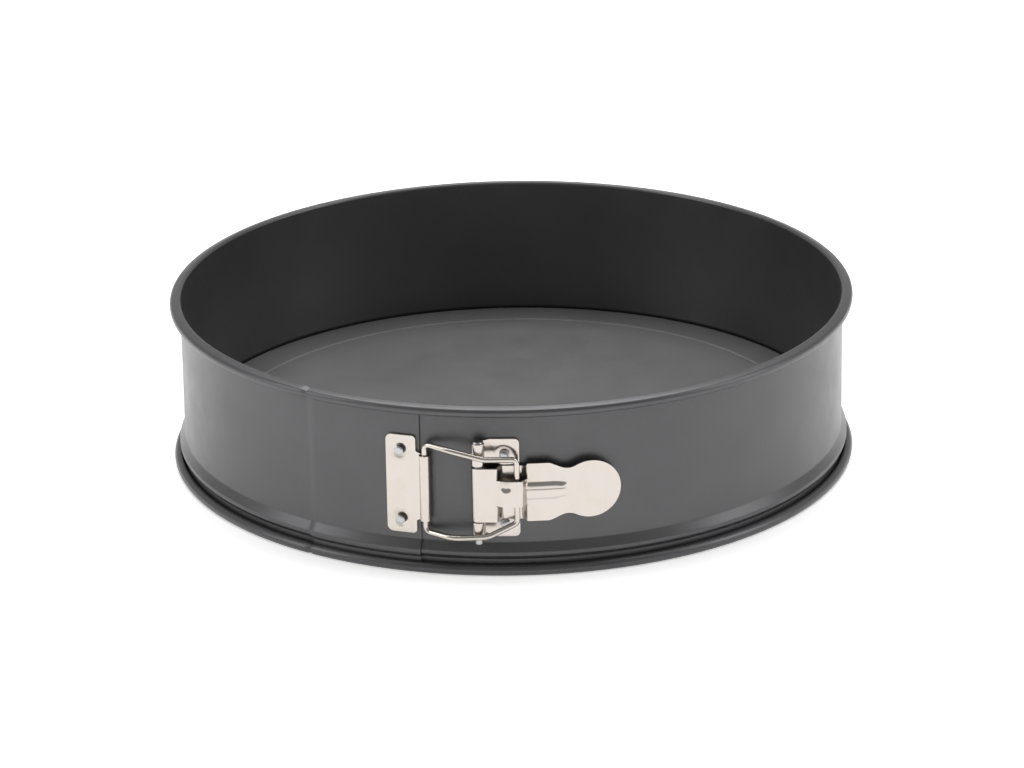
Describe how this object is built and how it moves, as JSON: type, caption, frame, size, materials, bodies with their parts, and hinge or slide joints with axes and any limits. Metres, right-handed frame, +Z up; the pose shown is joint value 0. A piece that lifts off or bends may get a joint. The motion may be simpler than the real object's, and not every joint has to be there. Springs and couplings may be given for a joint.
{
  "type": "springform cake pan",
  "caption": "Round springform cake pan: split steel ring with rolled rims, loose base held in a groove, and a lever latch with a wire bail.",
  "frame": {"origin": "pan axis at the height of the table it rests on; the latch makes the box's middle sit 2 mm in front of it", "axes": "+Z up along the pan axis, latch at the front on -Y, +X to the right seen from the front"},
  "size_m": [0.2892, 0.2932, 0.0726],
  "materials": {
    "coated_band": "satin dark grey non-stick coating",
    "coated_base": "satin dark grey non-stick coating, fine grain",
    "nickel_plate": "bright nickel plate",
    "rivet_steel": "plated steel",
    "nickel_wire": "bright nickel plated wire"
  },
  "bodies": {
    "pan_base": {"base": "coated_base", "band_back": "coated_band"},
    "ring_left": {"band_side_left": "coated_band"},
    "ring_right": {"band_side_right": "coated_band"},
    "ring_front_left": {"band_front_left": "coated_band", "catch_plate": "nickel_plate", "catch_rivet_upper": "rivet_steel", "catch_rivet_lower": "rivet_steel"},
    "ring_front_right": {"band_front_right": "coated_band", "hinge_bracket": "nickel_plate", "bracket_rivet_upper": "rivet_steel", "bracket_rivet_lower": "rivet_steel", "hinge_pin": "rivet_steel"},
    "latch_lever": {"lever": "nickel_plate"},
    "latch_bail": {"bail": "nickel_wire"}
  },
  "joints": [
    {"name": "left_rear_flex", "type": "hinge", "parent": "pan_base", "child": "ring_left", "pos_m": [-0.10253, 0.10253, 0.04], "axis": [0, 0, -1], "range_deg": [0, 1.4]},
    {"name": "right_rear_flex", "type": "hinge", "parent": "pan_base", "child": "ring_right", "pos_m": [0.10253, 0.10253, 0.04], "axis": [0, 0, 1], "range_deg": [0, 1.4]},
    {"name": "left_front_flex", "type": "hinge", "parent": "ring_left", "child": "ring_front_left", "pos_m": [-0.10253, -0.10253, 0.04], "axis": [0, 0, -1], "range_deg": [0, 1.4]},
    {"name": "right_front_flex", "type": "hinge", "parent": "ring_right", "child": "ring_front_right", "pos_m": [0.10253, -0.10253, 0.04], "axis": [0, 0, 1], "range_deg": [0, 1.4]},
    {"name": "lever_open", "type": "hinge", "parent": "ring_front_right", "child": "latch_lever", "pos_m": [-0.01439, -0.14288, 0.0362], "axis": [0, 0, -1], "range_deg": [0, 100]},
    {"name": "bail_swing", "type": "hinge", "parent": "ring_front_left", "child": "latch_bail", "pos_m": [-0.03564, -0.13832, 0.0362], "axis": [0, 0, -1], "range_deg": [0, 26]}
  ],
  "couplings": [
    {"joint": "left_rear_flex", "follows": "lever_open", "ratio": 0.012929},
    {"joint": "right_rear_flex", "follows": "lever_open", "ratio": 0.012929},
    {"joint": "left_front_flex", "follows": "lever_open", "ratio": 0.012929},
    {"joint": "right_front_flex", "follows": "lever_open", "ratio": 0.012929},
    {"joint": "bail_swing", "follows": "lever_open", "ratio": 0.23961}
  ]
}
